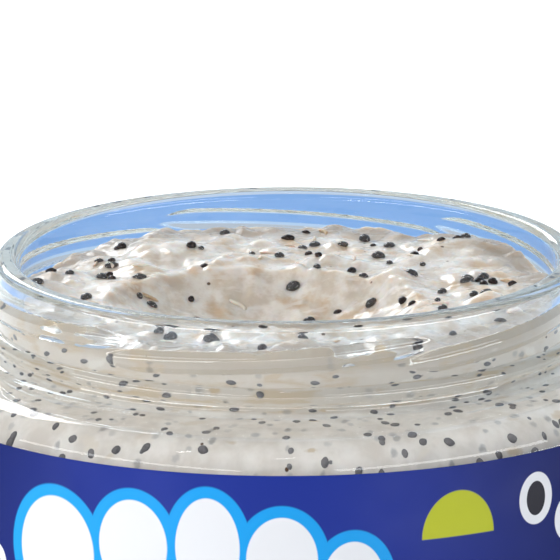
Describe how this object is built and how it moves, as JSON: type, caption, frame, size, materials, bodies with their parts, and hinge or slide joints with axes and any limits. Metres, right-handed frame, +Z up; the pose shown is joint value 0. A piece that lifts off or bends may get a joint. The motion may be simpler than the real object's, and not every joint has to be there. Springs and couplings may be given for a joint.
{
  "type": "jar of black sesame pudding",
  "caption": "Open wide-mouthed clear glass jar with a screw neck and a wrap label, filled to near its lip with pale, lumpy coconut pudding full of soaked dark seeds, its top scooped hollow.",
  "frame": {"origin": "centre of the jar's foot, on the surface that it stands on", "axes": "+Z up along the jar's axis, -Y towards the front, where the label's middle is"},
  "size_m": [0.1116, 0.1116, 0.086],
  "materials": {
    "clear_glass": "clear, smooth and glossy",
    "label_film": "printed wrap film, satin, deep blue",
    "coconut_pudding": "wet, off-white, with dark soaked seeds"
  },
  "bodies": {
    "root": {"jar": "clear_glass", "label": "label_film", "pudding": "coconut_pudding"}
  },
  "joints": []
}
